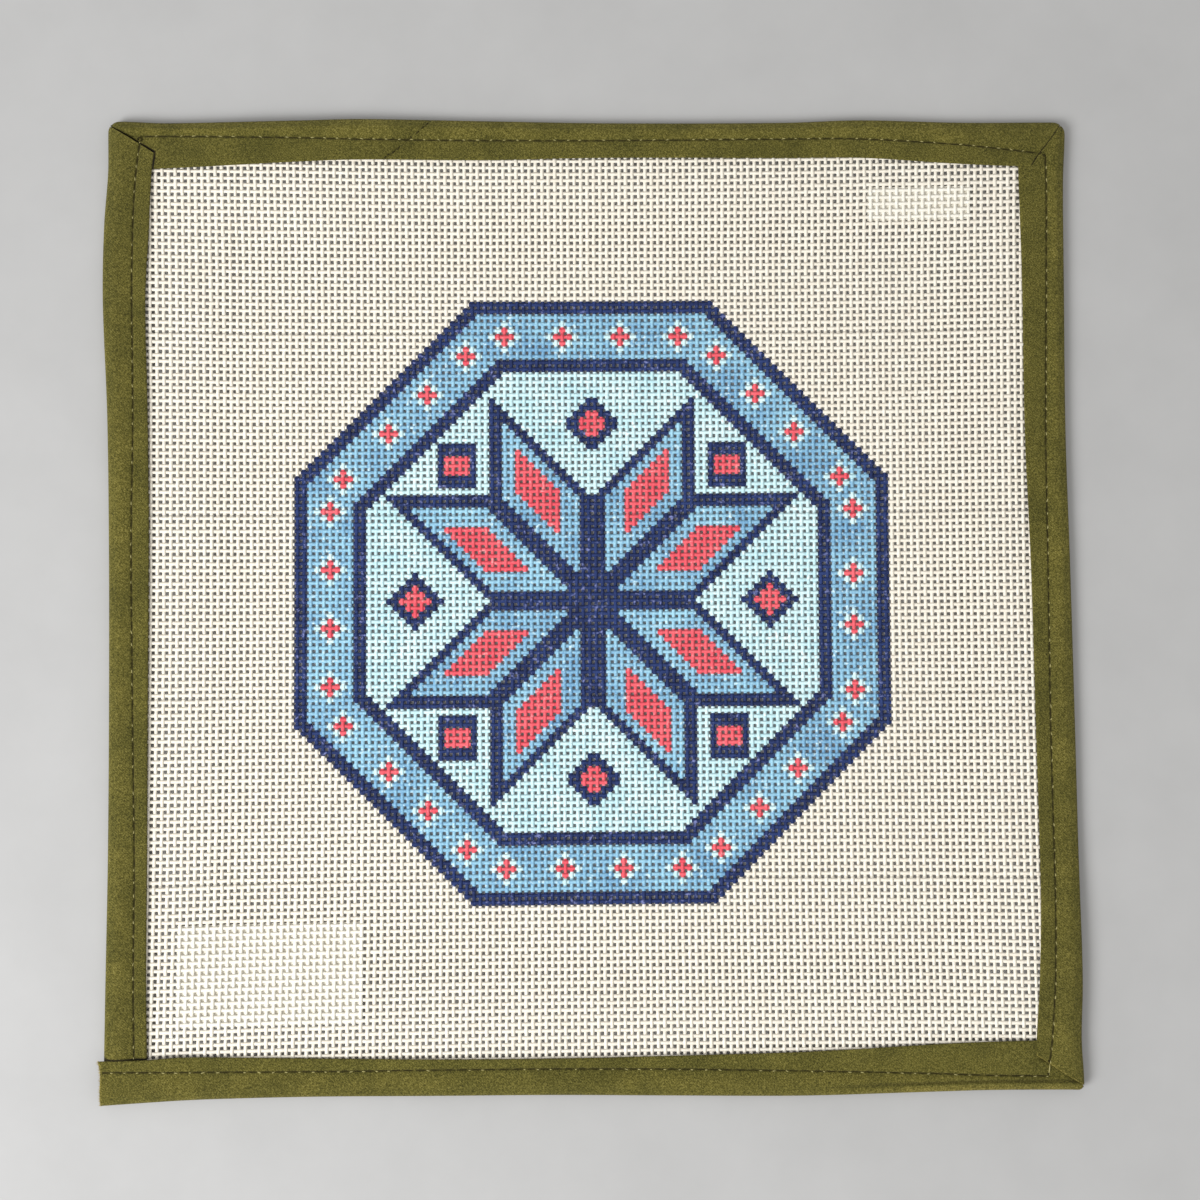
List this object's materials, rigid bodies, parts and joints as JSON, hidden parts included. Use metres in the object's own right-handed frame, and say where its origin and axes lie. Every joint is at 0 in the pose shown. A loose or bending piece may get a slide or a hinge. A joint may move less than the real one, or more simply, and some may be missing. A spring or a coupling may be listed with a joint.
{
  "type": "needlepoint canvas panel",
  "caption": "Square open-mesh needlepoint canvas with a painted medallion, bound on all sides with folded cloth tape.",
  "frame": {"origin": "middle of the panel's footprint, on the surface that it lies on", "axes": "+X to the right across the painted face, +Y up the face, +Z out of the face, away from the surface"},
  "size_m": [0.2899, 0.2918, 0.0053],
  "materials": {
    "canvas": "stiff sized cotton canvas, plain weave with open holes, painted in matt colours",
    "binding_tape": "matt olive cotton bias tape, folded and sewn",
    "sewing_thread": "matt olive sewing thread"
  },
  "bodies": {
    "root": {"canvas": "canvas", "binding_left": "binding_tape", "binding_top_left": "binding_tape", "binding_top_right": "binding_tape", "binding_right": "binding_tape", "binding_bottom": "binding_tape"}
  },
  "joints": []
}
